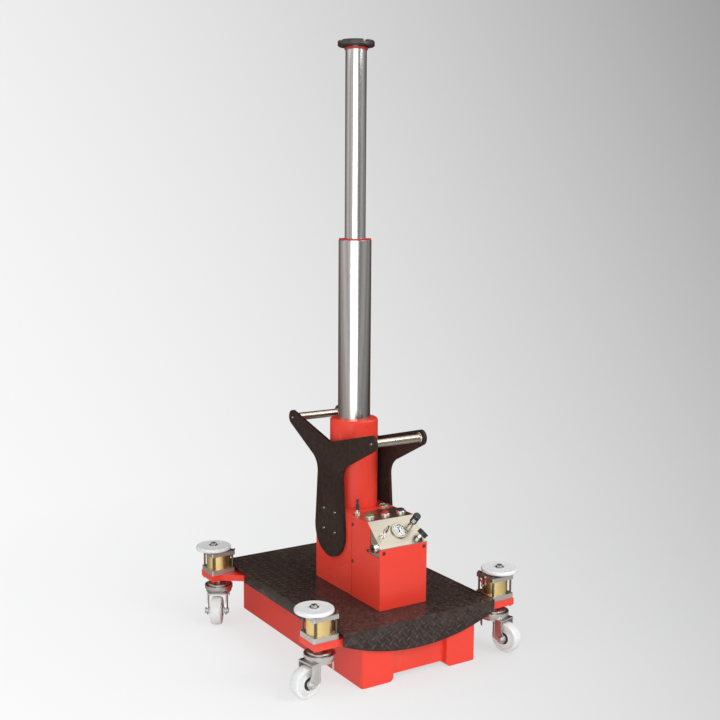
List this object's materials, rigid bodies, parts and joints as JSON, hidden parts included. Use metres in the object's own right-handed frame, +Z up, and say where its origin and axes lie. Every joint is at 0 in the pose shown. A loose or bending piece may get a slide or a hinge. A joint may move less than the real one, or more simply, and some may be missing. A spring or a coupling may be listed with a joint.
{
  "type": "pit jack",
  "caption": "Air-hydraulic pit jack with a two-stage telescopic mast and crowned saddle on a low base box with a tread plate, corner air lifts, swivel castors and guide discs.",
  "frame": {"origin": "on the floor, on the underside of the base box below the middle of the tread plate", "axes": "+Z up along the mast, -Y towards the control panel's side, +X across the jack to the right of someone who faces the panel"},
  "size_m": [0.8773, 0.9193, 2.033],
  "materials": {
    "red_paint": "gloss",
    "black_tread": "gloss",
    "black_satin": "satin",
    "stainless": "brushed",
    "chrome": "polished",
    "hard_chrome": "ground and polished",
    "aluminium": "satin",
    "brass": "polished",
    "zinc": "zinc plated",
    "white_nylon": "satin",
    "black_plastic": "satin",
    "black_oxide": "black oxide",
    "green_plastic": "gloss",
    "red_plastic": "gloss",
    "grey_plastic": "gloss",
    "red_hose": "satin",
    "cast_grey": "as cast",
    "clear_glass": "clear"
  },
  "bodies": {
    "root": {"base_box": "red_paint", "corner_arms": "red_paint", "deck_plate": "black_tread", "rear_housing": "red_paint", "front_cover": "red_paint", "control_box": "stainless", "cover_screws": "black_oxide", "mast_column": "red_paint", "column_gland": "red_paint", "left_bracket": "black_satin", "right_bracket": "black_satin", "handle_bars": "stainless", "bracket_screws": "black_oxide", "oil_tank": "cast_grey", "air_pump": "cast_grey", "air_coupler": "chrome", "gauge_cases": "chrome", "gauge_lenses": "clear_glass", "button_rings": "chrome", "valve_bodies": "chrome", "cylinder_heads": "aluminium", "brass_barrels": "brass", "tie_rods": "zinc", "air_hoses": "red_hose", "disc_bolts": "black_oxide"},
    "lower_stage": {"lower_mast_tube": "hard_chrome", "lower_piston": "cast_grey", "upper_gland": "red_paint"},
    "upper_stage": {"upper_mast_rod": "hard_chrome", "upper_piston": "cast_grey"},
    "saddle": {"saddle": "black_oxide"},
    "green_button": {"green_button": "green_plastic"},
    "red_button": {"red_button": "red_plastic"},
    "grey_button": {"grey_button": "grey_plastic"},
    "toggle_lever": {"toggle_lever": "chrome"},
    "regulator_grip": {"regulator_grip": "black_plastic"},
    "ribbed_knob": {"ribbed_knob": "black_plastic"},
    "needle_valve_grip": {"needle_valve_grip": "black_plastic"},
    "panel_gauge_needle": {"panel_gauge_needle": "black_plastic"},
    "top_gauge_needle": {"top_gauge_needle": "black_plastic"},
    "lift_front_left": {"lift_rod_front_left": "zinc"},
    "castor_front_left": {"castor_fork_front_left": "zinc", "castor_axle_front_left": "zinc"},
    "wheel_front_left": {"castor_wheel_front_left": "white_nylon"},
    "disc_front_left": {"guide_disc_front_left": "white_nylon"},
    "lift_front_right": {"lift_rod_front_right": "zinc"},
    "castor_front_right": {"castor_fork_front_right": "zinc", "castor_axle_front_right": "zinc"},
    "wheel_front_right": {"castor_wheel_front_right": "white_nylon"},
    "disc_front_right": {"guide_disc_front_right": "white_nylon"},
    "lift_rear_left": {"lift_rod_rear_left": "zinc"},
    "castor_rear_left": {"castor_fork_rear_left": "zinc", "castor_axle_rear_left": "zinc"},
    "wheel_rear_left": {"castor_wheel_rear_left": "white_nylon"},
    "disc_rear_left": {"guide_disc_rear_left": "white_nylon"},
    "lift_rear_right": {"lift_rod_rear_right": "zinc"},
    "castor_rear_right": {"castor_fork_rear_right": "zinc", "castor_axle_rear_right": "zinc"},
    "wheel_rear_right": {"castor_wheel_rear_right": "white_nylon"},
    "disc_rear_right": {"guide_disc_rear_right": "white_nylon"}
  },
  "joints": [
    {"name": "lower_stage_slide", "type": "slide", "parent": "root", "child": "lower_stage", "axis": [0, 0, 1], "range_m": [-0.6, 0]},
    {"name": "upper_stage_slide", "type": "slide", "parent": "lower_stage", "child": "upper_stage", "axis": [0, 0, 1], "range_m": [-0.6, 0]},
    {"name": "saddle_turn", "type": "hinge", "parent": "upper_stage", "child": "saddle", "pos_m": [0, -0.0055, 2.02], "axis": [0, 0, 1], "continuous": true},
    {"name": "green_button_press", "type": "slide", "parent": "root", "child": "green_button", "axis": [0, 0, -1], "range_m": [0, 0.004], "stiffness_N_per_m": 600},
    {"name": "red_button_press", "type": "slide", "parent": "root", "child": "red_button", "axis": [0, 0, -1], "range_m": [0, 0.004], "stiffness_N_per_m": 600},
    {"name": "grey_button_press", "type": "slide", "parent": "root", "child": "grey_button", "axis": [0, 0, -1], "range_m": [0, 0.004], "stiffness_N_per_m": 600},
    {"name": "toggle_swing", "type": "hinge", "parent": "root", "child": "toggle_lever", "pos_m": [-0.064, -0.28997, 0.44089], "axis": [1, 0, 0], "range_deg": [-18, 18], "stiffness_Nm_per_rad": 0.6},
    {"name": "regulator_turn", "type": "hinge", "parent": "root", "child": "regulator_grip", "pos_m": [0.058, -0.27553, 0.45627], "axis": [0.0349, -0.6602, 0.7503], "range_deg": [-150, 150]},
    {"name": "ribbed_knob_turn", "type": "hinge", "parent": "root", "child": "ribbed_knob", "pos_m": [0.062, -0.31258, 0.41967], "axis": [0.6409, -0.308, 0.7031], "range_deg": [-150, 150]},
    {"name": "needle_valve_turn", "type": "hinge", "parent": "root", "child": "needle_valve_grip", "pos_m": [-0.07, -0.142, 0.5], "axis": [0, 0, 1], "range_deg": [-180, 180]},
    {"name": "panel_gauge_sweep", "type": "hinge", "parent": "root", "child": "panel_gauge_needle", "pos_m": [0.007, -0.27793, 0.44083], "axis": [0, -0.6606, 0.7507], "range_deg": [-120, 120]},
    {"name": "top_gauge_sweep", "type": "hinge", "parent": "root", "child": "top_gauge_needle", "pos_m": [0.064, -0.097, 0.476], "axis": [0, 0, 1], "range_deg": [-120, 120]},
    {"name": "lift_front_left", "type": "slide", "parent": "root", "child": "lift_front_left", "axis": [0, 0, -1], "range_m": [0, 0.015]},
    {"name": "swivel_front_left", "type": "hinge", "parent": "lift_front_left", "child": "castor_front_left", "pos_m": [-0.3453, -0.3636, 0.119], "axis": [0, 0, 1], "continuous": true},
    {"name": "roll_front_left", "type": "hinge", "parent": "castor_front_left", "child": "wheel_front_left", "pos_m": [-0.39877, -0.37111, 0.05], "axis": [0.1392, -0.9903, 0], "continuous": true},
    {"name": "disc_turn_front_left", "type": "hinge", "parent": "root", "child": "disc_front_left", "pos_m": [-0.3645, -0.3636, 0.272], "axis": [0, 0, 1], "continuous": true},
    {"name": "lift_front_right", "type": "slide", "parent": "root", "child": "lift_front_right", "axis": [0, 0, -1], "range_m": [0, 0.015]},
    {"name": "swivel_front_right", "type": "hinge", "parent": "lift_front_right", "child": "castor_front_right", "pos_m": [0.3453, -0.3636, 0.119], "axis": [0, 0, 1], "continuous": true},
    {"name": "roll_front_right", "type": "hinge", "parent": "castor_front_right", "child": "wheel_front_right", "pos_m": [0.35928, -0.41576, 0.05], "axis": [0.9659, 0.2588, 0], "continuous": true},
    {"name": "disc_turn_front_right", "type": "hinge", "parent": "root", "child": "disc_front_right", "pos_m": [0.3645, -0.3636, 0.272], "axis": [0, 0, 1], "continuous": true},
    {"name": "lift_rear_left", "type": "slide", "parent": "root", "child": "lift_rear_left", "axis": [0, 0, -1], "range_m": [0, 0.015]},
    {"name": "swivel_rear_left", "type": "hinge", "parent": "lift_rear_left", "child": "castor_rear_left", "pos_m": [-0.3453, 0.3636, 0.119], "axis": [0, 0, 1], "continuous": true},
    {"name": "roll_rear_left", "type": "hinge", "parent": "castor_rear_left", "child": "wheel_rear_left", "pos_m": [-0.37471, 0.31831, 0.05], "axis": [0.8387, -0.5446, 0], "continuous": true},
    {"name": "disc_turn_rear_left", "type": "hinge", "parent": "root", "child": "disc_rear_left", "pos_m": [-0.3645, 0.3636, 0.272], "axis": [0, 0, 1], "continuous": true},
    {"name": "lift_rear_right", "type": "slide", "parent": "root", "child": "lift_rear_right", "axis": [0, 0, -1], "range_m": [0, 0.015]},
    {"name": "swivel_rear_right", "type": "hinge", "parent": "lift_rear_right", "child": "castor_rear_right", "pos_m": [0.3453, 0.3636, 0.119], "axis": [0, 0, 1], "continuous": true},
    {"name": "roll_rear_right", "type": "hinge", "parent": "castor_rear_right", "child": "wheel_rear_right", "pos_m": [0.38143, 0.40373, 0.05], "axis": [-0.7431, 0.6691, 0], "continuous": true},
    {"name": "disc_turn_rear_right", "type": "hinge", "parent": "root", "child": "disc_rear_right", "pos_m": [0.3645, 0.3636, 0.272], "axis": [0, 0, 1], "continuous": true}
  ],
  "couplings": [
    {"joint": "lift_front_right", "follows": "lift_front_left", "ratio": 1},
    {"joint": "lift_rear_left", "follows": "lift_front_left", "ratio": 1},
    {"joint": "lift_rear_right", "follows": "lift_front_left", "ratio": 1}
  ]
}
